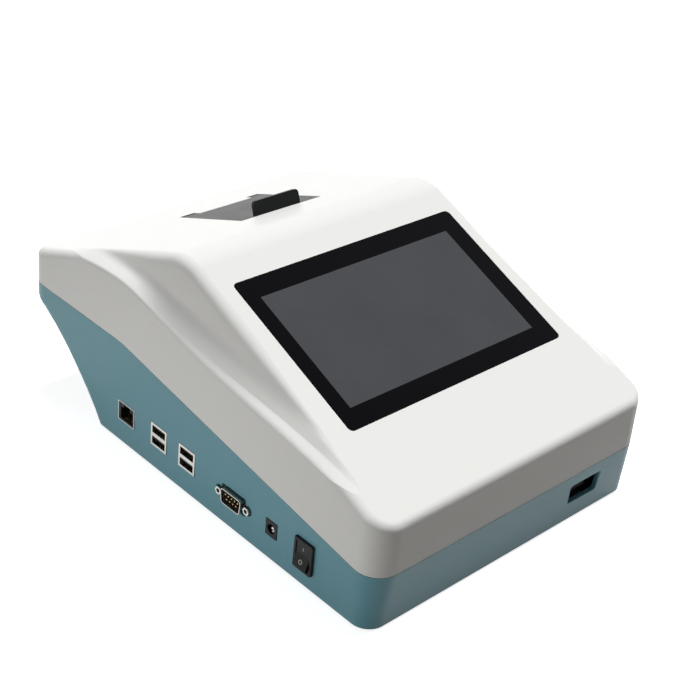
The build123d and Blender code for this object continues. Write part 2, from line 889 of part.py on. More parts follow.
lid_half = lid_width / 2
arm_start = platen_half_length + arm_gap
with BuildPart() as printer_lid:
    with BuildSketch(roof_plane.offset(-lid_thickness)):
        with BuildLine():
            Polyline(
                (-lid_half, lid_front),
                (lid_half, lid_front),
                (lid_half, pivot_y),
                (ear_inner_right, pivot_y),
                (ear_inner_right, lid_rear),
                (ear_inner_left, lid_rear),
                (ear_inner_left, pivot_y),
                (-lid_half, pivot_y),
                close=True,
            )
        make_face()
    extrude(amount=lid_thickness)
    underside = Plane(roof_plane.from_local_coords((0, lid_rear, -lid_thickness)))
    lower_edge = printer_lid.edges().filter_by(Axis.X).sort_by_distance(underside.origin)[0]
    chamfer(lower_edge, lid_rear_chamfer)
    rod(-lid_half, ear_inner_left, pivot_y, pivot_z, knuckle_radius)
    rod(ear_inner_right, lid_half, pivot_y, pivot_z, knuckle_radius)
    tab_origin = roof_plane.from_local_coords((0, lid_front, 0))
    with BuildSketch(Plane(tab_origin, x_dir=(1, 0, 0), z_dir=-roof_plane.y_dir)):
        with BuildLine():
            FilletPolyline(
                (tab_left, -lid_thickness),
                (tab_left, tab_height),
                (tab_right, tab_height),
                (tab_right, -lid_thickness),
                radius=tab_corner,
            )
            Line((tab_right, -lid_thickness), (tab_left, -lid_thickness))
        make_face()
    extrude(amount=-tab_thickness)
    for x_low in (-arm_start - arm_thickness, arm_start):
        with BuildSketch(across(x_low, platen_y, platen_z)):
            Circle(arm_radius)
            with Locations((0, -platen_z / 2)):
                Rectangle(2 * arm_radius, -platen_z - lid_thickness / 2)
        extrude(amount=arm_thickness)
    rod(-side_out, side_out, platen_y, platen_z, shaft_radius + shaft_play, mode=Mode.SUBTRACT)
    rod(-side_out, side_out, pivot_y, pivot_z, hinge_pin_radius + shaft_play, mode=Mode.SUBTRACT)

with BuildPart() as lid_hinge_pins:
    rod(-cheek_outer, ear_inner_left, pivot_y, pivot_z, hinge_pin_radius)
    rod(ear_inner_right, cheek_outer, pivot_y, pivot_z, hinge_pin_radius)

with BuildPart() as printer_frame:
    box_height = printer_depth - wall - roof_clearance
    with BuildSketch(roof_plane.offset(-printer_depth)):
        with Locations((0, (printer_front + printer_rear) / 2)):
            Rectangle(2 * cheek_outer, printer_rear - printer_front)
    extrude(amount=box_height)
    with BuildSketch(roof_plane.offset(-printer_depth + tray_wall)):
        with Locations((0, (printer_front + printer_rear) / 2)):
            Rectangle(2 * cheek_inner, printer_rear - printer_front - 2 * tray_wall)
    extrude(amount=box_height, mode=Mode.SUBTRACT)
    for x, y in flange_places:
        inward = cheek_outer - flange_x if x > 0 else flange_x - cheek_outer
        with BuildSketch(roof_plane.offset(-flange_drop - flange_thickness)):
            with Locations((x, y)):
                Circle(flange_radius)
            with Locations((x + inward / 2, y)):
                Rectangle(abs(inward) + tray_wall, 2 * flange_radius)
            with Locations((x, y)):
                Circle(screw_hole_radius, mode=Mode.SUBTRACT)
        extrude(amount=flange_thickness)
    rod(-cheek_outer, -cheek_inner, pivot_y, pivot_z, hinge_boss_radius)
    rod(cheek_inner, cheek_outer, pivot_y, pivot_z, hinge_boss_radius)
    rod(-side_out, side_out, pivot_y, pivot_z, hinge_pin_radius + seat_play, mode=Mode.SUBTRACT)
    rod(lid_half, side_out, idler_y, idler_z, shaft_radius + seat_play, mode=Mode.SUBTRACT)
    rod(lid_half, side_out, pinion_y, pinion_z, 2 * pinion_shaft_radius, mode=Mode.SUBTRACT)

with BuildPart() as printer_screws:
    for x, y in flange_places:
        with BuildSketch(roof_plane.offset(-flange_drop - flange_thickness - screw_head_height)):
            with Locations((x, y)):
                Circle(screw_head_radius)
        extrude(amount=screw_head_height)
        with BuildSketch(roof_plane.offset(-flange_drop - flange_thickness - screw_head_height)):
            with Locations((x, y)):
                Circle(screw_radius)
        extrude(amount=screw_head_height + flange_thickness + flange_drop - wall - end_gap)

with BuildPart() as print_head:
    head_rear = platen_y - platen_radius - head_gap
    head_low = 2 * platen_z
    with BuildSketch(roof_plane.offset(head_low)):
        with Locations((0, head_rear - head_thickness / 2)):
            Rectangle(2 * platen_half_length, head_thickness)
    extrude(amount=-head_low - head_top_drop)

with BuildPart() as platen_roller:
    rod(-platen_half_length, platen_half_length, platen_y, platen_z, platen_radius)
    rod(-side_out, side_out, platen_y, platen_z, shaft_radius, mode=Mode.SUBTRACT)

with BuildPart() as platen_shaft:
    rod(-gear_start - gear_width, gear_start + gear_width + arm_gap, platen_y, platen_z, shaft_radius)

with BuildPart() as platen_gear:
    gear(platen_teeth, gear_start, platen_y, platen_z, platen_phase, shaft_radius)

with BuildPart() as idler_gear:
    gear(idler_teeth, gear_start, idler_y, idler_z, idler_phase, shaft_radius + shaft_play)

with BuildPart() as idler_axle:
    rod(gear_start - arm_gap, cheek_outer, idler_y, idler_z, shaft_radius)

with BuildPart() as motor_pinion:
    gear(pinion_teeth, gear_start, pinion_y, pinion_z, pinion_phase, pinion_shaft_radius / 2)
    rod(gear_start, cheek_outer + printer_motor_length / 2, pinion_y, pinion_z, pinion_shaft_radius)

with BuildPart() as printer_motor:
    rod(cheek_outer, cheek_outer + printer_motor_length, pinion_y, pinion_z, printer_motor_radius)
    motor_middle = cheek_outer + printer_motor_length / 2
    rod(0, motor_middle + end_gap, pinion_y, pinion_z, pinion_shaft_radius + shaft_play, mode=Mode.SUBTRACT)

# --- Card reader ---------------------------------------------------------------------------------
base_top = floor_top + reader_base_thickness
tray_front = slot_face + tray_set_back
tray_bottom = slot_z - tray_drop - tray_height / 2
tray_top = tray_bottom + tray_height
slider_front = tray_front + tray_length
slider_rear = slider_front + slider_length
rod_places = (slot_x - rod_spread, slot_x + rod_spread)
rod_start = tray_front + rod_block_length - rod_grip
rod_end = rod_start + 2 * rod_grip + rod_span
screw_front = slider_front - carriage_travel - end_gap - screw_block_length
screw_block_rear_y = slider_rear + nut_flange + block_gap
coupling_front = screw_block_rear_y + screw_block_length + block_gap
motor_front = coupling_front + coupling_length + block_gap + motor_plate + end_gap
screw_end = coupling_front + coupling_length / 2 - end_gap / 2
screw_start = screw_front + screw_block_length - screw_grip


def lying_box(x_low, x_high, y_low, y_high, z_low, z_high, mode=Mode.ADD):
    """A block given by its six faces."""
    with BuildSketch(Plane.XY.offset(z_low)) as profile:
        with Locations(((x_low + x_high) / 2, (y_low + y_high) / 2)):
            Rectangle(x_high - x_low, y_high - y_low)
    extrude(profile.sketch, amount=z_high - z_low, mode=mode)


def lengthwise(x, z, y_low, y_high, radius, mode=Mode.ADD):
    """A round bar along Y."""
    with BuildSketch(Plane.XZ.offset(-y_low)) as profile:
        with Locations((x, z)):
            Circle(radius)
    extrude(profile.sketch, amount=y_low - y_high, mode=mode)


with BuildPart() as reader_base:
    base_front_y = tray_front - reader_base_thickness
    lying_box(reader_base_left, reader_base_notch, base_front_y, reader_base_rear, floor_top, base_top)
    lying_box(reader_base_notch, reader_base_right, screw_front, reader_base_rear, floor_top, base_top)

with BuildPart() as rod_blocks:
    for x in rod_places:
        x_low, x_high = x - rod_block_width / 2, x + rod_block_width / 2
        lying_box(x_low, x_high, tray_front, tray_front + rod_block_length, base_top, rod_block_top)
        rear_block = rod_end - rod_grip
        lying_box(x_low, x_high, rear_block, rear_block + rod_block_length, base_top, rod_block_top)
        lengthwise(x, slot_z, rod_start, rod_end, rod_radius + seat_play, mode=Mode.SUBTRACT)

with BuildPart() as guide_rods:
    for x in rod_places:
        lengthwise(x, slot_z, rod_start, rod_end, rod_radius)

with BuildPart() as card_carriage:
    tray_low, tray_high = slot_x - tray_width / 2, slot_x + tray_width / 2
    lying_box(tray_low, tray_high, tray_front, slider_front + end_gap, tray_bottom, tray_top)
    fillet(card_carriage.edges().filter_by(Axis.Z).group_by(Axis.Y)[0], tray_corner)
    lying_box(slider_left, slider_right, slider_front, slider_rear, slider_bottom, slider_top)
    pocket_front = tray_front + pocket_margin
    lying_box(
        slot_x - pocket_width / 2,
        slot_x + pocket_width / 2,
        pocket_front,
        pocket_front + pocket_length,
        tray_top - pocket_depth,
        tray_top,
        mode=Mode.SUBTRACT,
    )
    for x in rod_places:
        lengthwise(x, slot_z, slider_front, slider_rear, bush_radius, mode=Mode.SUBTRACT)
    lengthwise(screw_x, slot_z, slider_front, slider_rear, nut_radius, mode=Mode.SUBTRACT)

with BuildPart() as carriage_bushes:
    for x in rod_places:
        lengthwise(x, slot_z, slider_front, slider_rear, bush_radius)
        lengthwise(x, slot_z, slider_front, slider_rear, rod_radius + shaft_play, mode=Mode.SUBTRACT)

with BuildPart() as lead_nut:
    lengthwise(screw_x, slot_z, slider_front, slider_rear, nut_radius)
    lengthwise(screw_x, slot_z, slider_rear, slider_rear + nut_flange, nut_flange_radius)
    nut_rear = slider_rear + nut_flange
    lengthwise(screw_x, slot_z, slider_front, nut_rear, lead_screw_radius + shaft_play, mode=Mode.SUBTRACT)

with BuildPart() as lead_screw:
    lengthwise(screw_x, slot_z, screw_start, screw_end, lead_screw_radius)

with BuildPart() as screw_blocks:
    x_low, x_high = screw_x - screw_block_width / 2, screw_x + screw_block_width / 2
    lying_box(x_low, x_high, screw_front, screw_front + screw_block_length, base_top, screw_block_top)
    block_rear = screw_block_rear_y + screw_block_length
    lying_box(x_low, x_high, screw_block_rear_y, block_rear, base_top, screw_block_top)
    bore_start = screw_start - end_gap
    lengthwise(screw_x, slot_z, bore_start, block_rear, lead_screw_radius + shaft_play, mode=Mode.SUBTRACT)

with BuildPart() as screw_coupling:
    coupling_rear = coupling_front + coupling_length
    lengthwise(screw_x, slot_z, coupling_front, coupling_rear, coupling_radius)
    lengthwise(screw_x, slot_z, coupling_front, screw_end, lead_screw_radius, mode=Mode.SUBTRACT)
    lengthwise(screw_x, slot_z, screw_end + end_gap, coupling_rear, motor_shaft_radius, mode=Mode.SUBTRACT)

with BuildPart() as motor_shaft:
    lengthwise(screw_x, slot_z, screw_end + end_gap, motor_front + motor_shaft_grip, motor_shaft_radius)

with BuildPart() as carriage_motor:
    with BuildSketch(Plane.XZ.offset(-motor_front)):
        with Locations((screw_x, slot_z)):
            RectangleRounded(motor_side, motor_side, motor_corner)
    extrude(amount=-motor_length)
    boss_front = motor_front - motor_boss
    bore_end = motor_front + motor_shaft_grip + end_gap
    lengthwise(screw_x, slot_z, boss_front, motor_front, motor_boss_radius)
    lengthwise(screw_x, slot_z, boss_front, bore_end, motor_shaft_radius + shaft_play, mode=Mode.SUBTRACT)

with BuildPart() as motor_bracket:
    x_low = screw_x - motor_side / 2 + end_gap
    x_high = screw_x + motor_side / 2 - end_gap
    plate_front = motor_front - motor_plate
    lying_box(x_low, x_high, plate_front, motor_front, base_top, slot_z + motor_side / 2)
    lying_box(x_low, x_high, plate_front - end_gap, motor_front, base_top, base_top + motor_foot)
    boss_room = motor_boss_radius + motor_boss_gap
    lengthwise(screw_x, slot_z, plate_front, motor_front, boss_room, mode=Mode.SUBTRACT)

with BuildPart() as home_switch:
    switch_x = slot_x - tray_width / 4
    switch_front = slider_rear + home_switch_set_back
    lying_box(
        switch_x - home_switch_width / 2,
        switch_x + home_switch_width / 2,
        switch_front,
        switch_front + home_switch_depth,
        base_top,
        slider_top - home_switch_drop,
    )
    lying_box(
        switch_x - switch_lever / 2,
        switch_x + switch_lever / 2,
        slider_rear + switch_lever_gap,
        switch_front + end_gap,
        slot_z - switch_lever,
        slot_z,
    )

optics_y = (optics_front + optics_rear) / 2
optics_top = optics_height + optics_plate
with BuildPart() as optics_bracket:
    bracket_right = reader_base_right - end_gap
    for leg_left in (reader_base_left, bracket_right - optics_leg):
        lying_box(leg_left, leg_left + optics_leg, optics_front, optics_rear, base_top, optics_top)
    lying_box(reader_base_left, bracket_right, optics_front, optics_rear, optics_height, optics_top)
    with Locations((slot_x, optics_y, optics_top)):
        Cylinder(snout_radius + seat_play, 2 * optics_plate, mode=Mode.SUBTRACT)

with BuildPart() as optical_head:
    with Locations((slot_x, optics_y, optics_top)):
        Box(*head_body, align=standing)
    fillet(optical_head.edges().filter_by(Axis.Z), head_body_corner)
    with Locations((slot_x, optics_y, snout_bottom)):
        Cylinder(snout_radius, optics_top - snout_bottom, align=standing)
        Cylinder(lens_radius, head_body[2] / 2, align=standing, mode=Mode.SUBTRACT)

with BuildPart() as objective_lens:
    with Locations((slot_x, optics_y, snout_bottom + end_gap)):
        Cylinder(lens_radius, lens_thickness, align=standing)

with BuildPart() as detector_board:
    with Locations((slot_x, optics_y, optics_top + head_body[2])):
        Box(head_body[0] + 2 * end_gap, head_body[1] + 2 * end_gap, board_thickness, align=standing)

# --- Main board ----------------------------------------------------------------------------------
standoff_places = [
    (standoff_middle[0] + i * standoff_pitch[0] / 2, standoff_middle[1] + k * standoff_pitch[1])
    for i in (-1, 1)
    for k in (-1, 0, 1)
]
board_bottom = board_top - board_thickness
with BuildPart() as main_board:
    lying_box(board_left, board_right, board_front, board_rear, board_bottom, board_top)
    with BuildSketch(Plane.XY.offset(board_bottom)):
        with Locations(*standoff_places):
            Circle(screw_hole_radius)
    extrude(amount=board_thickness, mode=Mode.SUBTRACT)

with BuildPart() as board_standoffs:
    with BuildSketch(Plane.XY.offset(floor_top)):
        with Locations(*standoff_places):
            RegularPolygon(standoff_radius, 6)
            Circle(screw_radius, mode=Mode.SUBTRACT)
    extrude(amount=board_bottom - floor_top)

with BuildPart() as board_screws:
    with BuildSketch(Plane.XY.offset(board_top)):
        with Locations(*standoff_places):
            Circle(screw_head_radius)
    extrude(amount=screw_head_height)
    with BuildSketch(Plane.XY.offset(board_top)):
        with Locations(*standoff_places):
            Circle(screw_radius)
    extrude(amount=-(board_top - floor_top) / 2)

with BuildPart() as processor_sink:
    with BuildSketch(Plane.XY.offset(board_top)):
        with Locations(standoff_middle):
            Rectangle(sink_side, sink_side)
    extrude(amount=sink_base)
    with BuildSketch(Plane.XY.offset(board_top + sink_base)):
        with Locations(standoff_middle):
            with GridLocations(fin_pitch, 0, fin_count, 1):
                Rectangle(fin_thickness, sink_side)
    extrude(amount=fin_height)


# --- Connectors ----------------------------------------------------------------------------------
def port_box(y, z, width, height, depth, start=0.0, mode=Mode.ADD):
    """A block that runs inwards from the connectors' common face."""
    with BuildSketch(Plane.YZ.offset(port_face + start)) as profile:
        with Locations((y, z)):
            Rectangle(width, height)
    extrude(profile.sketch, amount=depth, mode=mode)


with BuildPart() as ethernet_shell:
    port_box(ethernet_y, ethernet_z, ethernet_width, ethernet_height, ethernet_depth)
    port_box(
        ethernet_y,
        ethernet_z,
        ethernet_width - 2 * metal_skin,
        ethernet_height - 2 * metal_skin,
        ethernet_depth - metal_skin,
        mode=Mode.SUBTRACT,
    )

with BuildPart() as ethernet_insert:
    inner_width = ethernet_width - 2 * metal_skin
    inner_height = ethernet_height - 2 * metal_skin
    inner_depth = ethernet_depth - metal_skin - insert_set_back
    opening_low = ethernet_z - inner_height / 2 + jack_opening_rise
    opening_z = opening_low + jack_opening[1] / 2
    port_box(ethernet_y, ethernet_z, inner_width, inner_height, inner_depth, start=insert_set_back)
    port_box(
        ethernet_y,
        opening_z,
        *jack_opening,
        jack_opening_depth,
        start=insert_set_back,
        mode=Mode.SUBTRACT,
    )
    port_box(
        ethernet_y,
        opening_low + jack_opening[1] + jack_latch[1] / 2,
        *jack_latch,
        jack_opening_depth / 2,
        start=insert_set_back,
        mode=Mode.SUBTRACT,
    )


def usb_shell_solid(y):
    port_box(y, usb_z, usb_width, usb_height, usb_depth)
    for k in (-1, 1):
        port_box(y, usb_z + k * usb_slot_pitch / 2, *usb_slot, usb_depth - end_gap, mode=Mode.SUBTRACT)


def usb_insert_solids(y):
    for k in (-1, 1):
        z = usb_z + k * usb_slot_pitch / 2
        back = usb_depth - end_gap - usb_back
        tongue_z = z + (usb_slot[1] - usb_tongue[1]) / 2 - usb_tongue_drop
        port_box(y, z, *usb_slot, usb_back, start=back)
        port_box(y, tongue_z, *usb_tongue, back - usb_tongue_set_back, start=usb_tongue_set_back)


with BuildPart() as usb_rear_shell:
    usb_shell_solid(usb_rear_y)

with BuildPart() as usb_rear_insert:
    usb_insert_solids(usb_rear_y)

with BuildPart() as usb_front_shell:
    usb_shell_solid(usb_front_y)

with BuildPart() as usb_front_insert:
    usb_insert_solids(usb_front_y)

flange_face = -side_x(serial_z) + wall + serial_flange_gap


def shell_outline(shrink=0.0):
    """The D-shaped outline of the serial connector's metal shell."""
    with BuildLine() as rim_line:
        Polyline(
            (serial_y - serial_shell_top + shrink, serial_z + serial_shell_rise - shrink),
            (serial_y + serial_shell_top - shrink, serial_z + serial_shell_rise - shrink),
            (serial_y + serial_shell_bottom - shrink, serial_z - serial_shell_rise + shrink),
            (serial_y - serial_shell_bottom + shrink, serial_z - serial_shell_rise + shrink),
            close=True,
        )
    make_face(rim_line.edges())


with BuildPart() as serial_shell:
    with BuildSketch(Plane.YZ.offset(flange_face)):
        with Locations((serial_y, serial_z)):
            RectangleRounded(*serial_flange, serial_flange_corner)
    extrude(amount=serial_flange_thickness)
    with BuildSketch(Plane.YZ.offset(flange_face)) as rim:
        shell_outline()
        fillet(rim.vertices(), serial_shell_corner)
    extrude(amount=-serial_shell_reach)
    with BuildSketch(Plane.YZ.offset(flange_face + serial_flange_thickness)) as mouth:
        shell_outline(metal_skin)
        fillet(mouth.vertices(), serial_shell_corner - metal_skin)
    extrude(amount=-serial_shell_reach - serial_flange_thickness, mode=Mode.SUBTRACT)
    with BuildSketch(Plane.YZ.offset(flange_face)):
        with Locations(*jack_centres):
            Circle(screw_hole_radius)
    extrude(amount=serial_flange_thickness, mode=Mode.SUBTRACT)

insert_face = flange_face - serial_shell_reach + serial_insert_set_back
flange_back = flange_face + serial_flange_thickness
with BuildPart() as serial_insert:
    with BuildSketch(Plane.YZ.offset(insert_face)) as plug:
        shell_outline(metal_skin + seat_play)
        fillet(plug.vertices(), serial_shell_corner - metal_skin)
    extrude(amount=flange_back - insert_face)
    body_top = serial_z + serial_shell_rise + end_gap
    with BuildSketch(Plane.YZ.offset(flange_back)):
        with Locations((serial_y, (board_top + body_top) / 2)):
            Rectangle(serial_flange[0], body_top - board_top)
    extrude(amount=serial_body_depth)
    with BuildSketch(Plane.YZ.offset(flange_back)):
        with Locations(*jack_centres):
            Circle(screw_radius)
    extrude(amount=serial_body_depth / 2, mode=Mode.SUBTRACT)

with BuildPart() as serial_pins:
    with BuildSketch(Plane.YZ.offset(insert_face)):
        with Locations((serial_y, serial_z + serial_row_pitch / 2)):
            with GridLocations(serial_pin_pitch, 0, 5, 1):
                Circle(serial_pin_radius)
        with Locations((serial_y, serial_z - serial_row_pitch / 2)):
            with GridLocations(serial_pin_pitch, 0, 4, 1):
                Circle(serial_pin_radius)
    extrude(amount=-serial_insert_set_back + end_gap)

with BuildPart() as jack_screws:
    with BuildSketch(Plane.YZ.offset(flange_face)):
        with Locations(*jack_centres):
            RegularPolygon(jack_screw_radius, 6)
    extrude(amount=-jack_screw_reach)
    with BuildSketch(Plane.YZ.offset(flange_face)):
        with Locations(*jack_centres):
            Circle(screw_radius)
    extrude(amount=serial_body_depth / 2)
    with BuildSketch(Plane.YZ.offset(flange_face - jack_screw_reach)):
        with Locations(*jack_centres):
            Circle(jack_thread_radius)
    extrude(amount=jack_screw_reach - metal_skin, mode=Mode.SUBTRACT)

with BuildPart() as dc_inlet:
    port_box(inlet_y, inlet_z, inlet_width, inlet_height, inlet_depth)
    with BuildSketch(Plane.YZ.offset(port_face)):
        with Locations((inlet_y, inlet_z)):
            Circle(inlet_bore_radius)
    extrude(amount=inlet_bore_depth, mode=Mode.SUBTRACT)

with BuildPart() as dc_inlet_pin:
    with BuildSketch(Plane.YZ.offset(port_face + end_gap)):
        with Locations((inlet_y, inlet_z)):
            Circle(inlet_pin_radius)
    extrude(amount=inlet_bore_depth - end_gap)
    fillet(dc_inlet_pin.edges().group_by(Axis.X)[0], inlet_pin_radius / 2)

wall_face = -side_x(rocker_z + bezel_height / 2)
window_half_y = rocker_width / 2 + rocker_gap
window_half_z = rocker_height / 2 + 2 * rocker_gap
pivot_x = wall_face + rocker_pivot_depth
with BuildPart() as switch_body:
    with BuildSketch(Plane.YZ.offset(wall_face)):
        with Locations((rocker_y, rocker_z)):
            RectangleRounded(bezel_width, bezel_height, bezel_corner)
    extrude(amount=-bezel_thickness)
    chamfer(switch_body.faces().sort_by(Axis.X)[0].edges(), bezel_edge)
    with BuildSketch(Plane.YZ.offset(wall_face)):
        with Locations((rocker_y, rocker_z)):
            Rectangle(switch_width, switch_height)
    extrude(amount=switch_depth)
    with BuildSketch(Plane.YZ.offset(wall_face - bezel_thickness)):
        with Locations((rocker_y, rocker_z)):
            Rectangle(2 * window_half_y, 2 * window_half_z)
    extrude(amount=bezel_thickness + switch_depth / 2, mode=Mode.SUBTRACT)
    with BuildSketch(Plane.XZ.offset(-rocker_y - side_out / 2)):
        with Locations((pivot_x, rocker_z)):
            Circle(trunnion_radius + shaft_play)
    extrude(amount=side_out, mode=Mode.SUBTRACT)

rocker_plane = Plane(
    origin=(pivot_x, rocker_y, rocker_z),
    x_dir=(-cos(radians(rocker_tilt)), 0, sin(radians(rocker_tilt))),
    z_dir=(0, 1, 0),
)
with BuildPart() as switch_rocker:
    reach = rocker_pivot_depth + bezel_thickness
    half_height = rocker_height / 2
    with BuildSketch(rocker_plane.offset(-rocker_width / 2)):
        with BuildLine():
            Polyline(
                (-rocker_back, -half_height * rocker_back_share),
                (reach - rocker_shoulder, -half_height),
                (reach + rocker_rise, -half_height + rocker_edge),
                (reach - rocker_edge, 0),
                (reach + rocker_rise, half_height - rocker_edge),
                (reach - rocker_shoulder, half_height),
                (-rocker_back, half_height * rocker_back_share),
                close=True,
            )
        make_face()
    extrude(amount=rocker_width)
    with BuildSketch(rocker_plane.offset(-switch_width / 2 + trunnion_end_gap)):
        Circle(trunnion_radius)
    extrude(amount=switch_width - 2 * trunnion_end_gap)

with BuildPart() as switch_terminals:
    with BuildSketch(Plane.YZ.offset(wall_face + switch_depth)):
        with Locations((rocker_y, rocker_z)):
            with GridLocations(0, switch_height / 2, 1, 2):
                Rectangle(*terminal_size)
    extrude(amount=terminal_length)

pieces = {
    "upper_housing": upper_housing,
    "lower_housing": lower_housing,
    "rubber_feet": rubber_feet,
    "housing_screws": housing_screws,
    "touch_glass": touch_glass,
    "display_tape": display_tape,
    "lcd_panel": lcd_panel,
    "display_bracket": display_bracket,
    "display_board": display_board,
    "display_screws": display_screws,
    "printer_lid": printer_lid,
    "lid_hinge_pins": lid_hinge_pins,
    "printer_frame": printer_frame,
    "printer_screws": printer_screws,
    "print_head": print_head,
    "platen_roller": platen_roller,
    "platen_shaft": platen_shaft,
    "platen_gear": platen_gear,
    "idler_gear": idler_gear,
    "idler_axle": idler_axle,
    "motor_pinion": motor_pinion,
    "printer_motor": printer_motor,
    "reader_base": reader_base,
    "rod_blocks": rod_blocks,
    "guide_rods": guide_rods,
    "card_carriage": card_carriage,
    "carriage_bushes": carriage_bushes,
    "lead_nut": lead_nut,
    "lead_screw": lead_screw,
    "screw_blocks": screw_blocks,
    "screw_coupling": screw_coupling,
    "motor_shaft": motor_shaft,
    "carriage_motor": carriage_motor,
    "motor_bracket": motor_bracket,
    "home_switch": home_switch,
    "optics_bracket": optics_bracket,
    "optical_head": optical_head,
    "objective_lens": objective_lens,
    "detector_board": detector_board,
    "main_board": main_board,
    "board_standoffs": board_standoffs,
    "board_screws": board_screws,
    "processor_sink": processor_sink,
    "ethernet_shell": ethernet_shell,
    "ethernet_insert": ethernet_insert,
    "usb_rear_shell": usb_rear_shell,
    "usb_rear_insert": usb_rear_insert,
    "usb_front_shell": usb_front_shell,
    "usb_front_insert": usb_front_insert,
    "serial_shell": serial_shell,
    "serial_insert": serial_insert,
    "serial_pins": serial_pins,
    "jack_screws": jack_screws,
    "dc_inlet": dc_inlet,
    "dc_inlet_pin": dc_inlet_pin,
    "switch_body": switch_body,
    "switch_rocker": switch_rocker,
    "switch_terminals": switch_terminals,
}
for name, piece in pieces.items():
    piece.part.label = name
    export_step(piece.part, f"parts/{name}.step")
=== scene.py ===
import math

import bpy
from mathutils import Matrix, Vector


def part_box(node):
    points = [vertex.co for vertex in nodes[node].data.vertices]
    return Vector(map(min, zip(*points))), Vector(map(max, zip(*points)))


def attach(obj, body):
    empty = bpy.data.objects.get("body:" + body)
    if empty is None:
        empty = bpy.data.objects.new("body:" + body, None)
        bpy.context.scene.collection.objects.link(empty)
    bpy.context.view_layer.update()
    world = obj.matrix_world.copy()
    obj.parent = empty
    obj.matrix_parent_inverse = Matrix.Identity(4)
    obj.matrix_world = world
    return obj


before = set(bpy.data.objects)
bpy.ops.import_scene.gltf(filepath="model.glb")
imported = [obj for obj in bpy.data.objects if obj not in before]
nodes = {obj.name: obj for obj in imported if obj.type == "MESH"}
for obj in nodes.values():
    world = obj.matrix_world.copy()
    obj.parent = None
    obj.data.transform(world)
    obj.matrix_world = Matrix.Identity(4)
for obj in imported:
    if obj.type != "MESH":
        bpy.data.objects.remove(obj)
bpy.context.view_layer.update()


# Table: the plain pale sheet that the reader stands on, flat and matt. The eye and anything shiny
# see it nearly white, while the light that it throws up onto the housing is low and a little warm.
table_width = 12.0
table_white = (0.92, 0.92, 0.92, 1)
table_bounce = (0.065, 0.057, 0.044, 1)
table_glow = 0.85
plain_white = (1, 1, 1, 1)


def feed(tree, socket, value):
    """Sets a shader socket to a plain value, or links it to another node's output."""
    if isinstance(value, bpy.types.NodeSocket):
        tree.links.new(value, socket)
    else:
        socket.default_value = value


def part_of(tree, kind, *in_order, **by_name):
    """A new shader node with its inputs fed in their order, or by their names."""
    node = tree.nodes.new(kind)
    for socket, value in zip(node.inputs, in_order):
        feed(tree, socket, value)
    for name, value in by_name.items():
        feed(tree, node.inputs[name.replace("_", " ")], value)
    return node


def result_of(tree, operation, *numbers, clamp=False):
    """What a Math node makes of one or two numbers."""
    node = part_of(tree, "ShaderNodeMath", *numbers)
    node.operation = operation
    node.use_clamp = clamp
    return node.outputs[0]


bpy.ops.object.select_all(action="DESELECT")
bpy.ops.mesh.primitive_plane_add(size=table_width, location=(0, 0, 0))
floor = bpy.context.object
floor.name = "floor"
floor_finish = bpy.data.materials.new("floor_finish")
floor_finish.use_nodes = True
tree = floor_finish.node_tree
tree.nodes.clear()
sheet = part_of(tree, "ShaderNodeBsdfDiffuse", Color=table_white)
glow = part_of(tree, "ShaderNodeEmission", Color=plain_white, Strength=table_glow)
bounced = part_of(tree, "ShaderNodeBsdfDiffuse", Color=table_bounce)
bright = part_of(tree, "ShaderNodeAddShader", sheet.outputs[0], glow.outputs[0])
ray = part_of(tree, "ShaderNodeLightPath")
seen = result_of(tree, "MAXIMUM", ray.outputs["Is Camera Ray"], ray.outputs["Is Glossy Ray"])
choice = part_of(tree, "ShaderNodeMixShader", seen, bounced.outputs[0], bright.outputs[0])
part_of(tree, "ShaderNodeOutputMaterial", Surface=choice.outputs[0])
floor.data.materials.append(floor_finish)


# Sky: a plain room all round. It is white to the eye, in shine and through glass, and much dimmer
# as a source of light, so that shadows keep their depth.
sky_light = 0.115
sky = bpy.data.worlds.new("sky")
bpy.context.scene.world = sky
sky.use_nodes = True
tree = sky.node_tree
tree.nodes.clear()
dim = part_of(tree, "ShaderNodeBackground", Color=plain_white, Strength=sky_light)
white = part_of(tree, "ShaderNodeBackground", Color=plain_white, Strength=1.0)
ray = part_of(tree, "ShaderNodeLightPath")
looked_at = result_of(tree, "MAXIMUM", ray.outputs["Is Camera Ray"], ray.outputs["Is Glossy Ray"])
seen = result_of(tree, "MAXIMUM", looked_at, ray.outputs["Is Transmission Ray"])
choice = part_of(tree, "ShaderNodeMixShader", seen, dim.outputs[0], white.outputs[0])
part_of(tree, "ShaderNodeOutputWorld", Surface=choice.outputs[0])


# Lamps: a broad soft key high on the right lights the slope and the roof, and a long low panel
# beside the connectors lifts that wall. The front face stays in shade. Neither lamp is seen.
key_strength = 3.28
key_spread = 0.42
key_aim = Vector((-0.30, -0.08, -0.951))
panel_strength = 0.57
panel_length = 0.50
panel_height = 0.05
panel_place = (-0.45, -0.01, 0.03)
panel_turn = (math.radians(90), 0, math.radians(-90))

key = bpy.data.lights.new("key_lamp", "SUN")
key.energy = key_strength
key.angle = key_spread
key_holder = bpy.data.objects.new("key_lamp", key)
key_holder.rotation_euler = key_aim.to_track_quat("-Z", "Y").to_euler()
panel = bpy.data.lights.new("side_panel", "AREA")
panel.shape = "RECTANGLE"
panel.size = panel_length
panel.size_y = panel_height
panel.energy = panel_strength
panel_holder = bpy.data.objects.new("side_panel", panel)
panel_holder.location = panel_place
panel_holder.rotation_euler = panel_turn
for holder in (key_holder, panel_holder):
    holder.visible_glossy = False
    holder.visible_camera = False
    bpy.context.scene.collection.objects.link(holder)


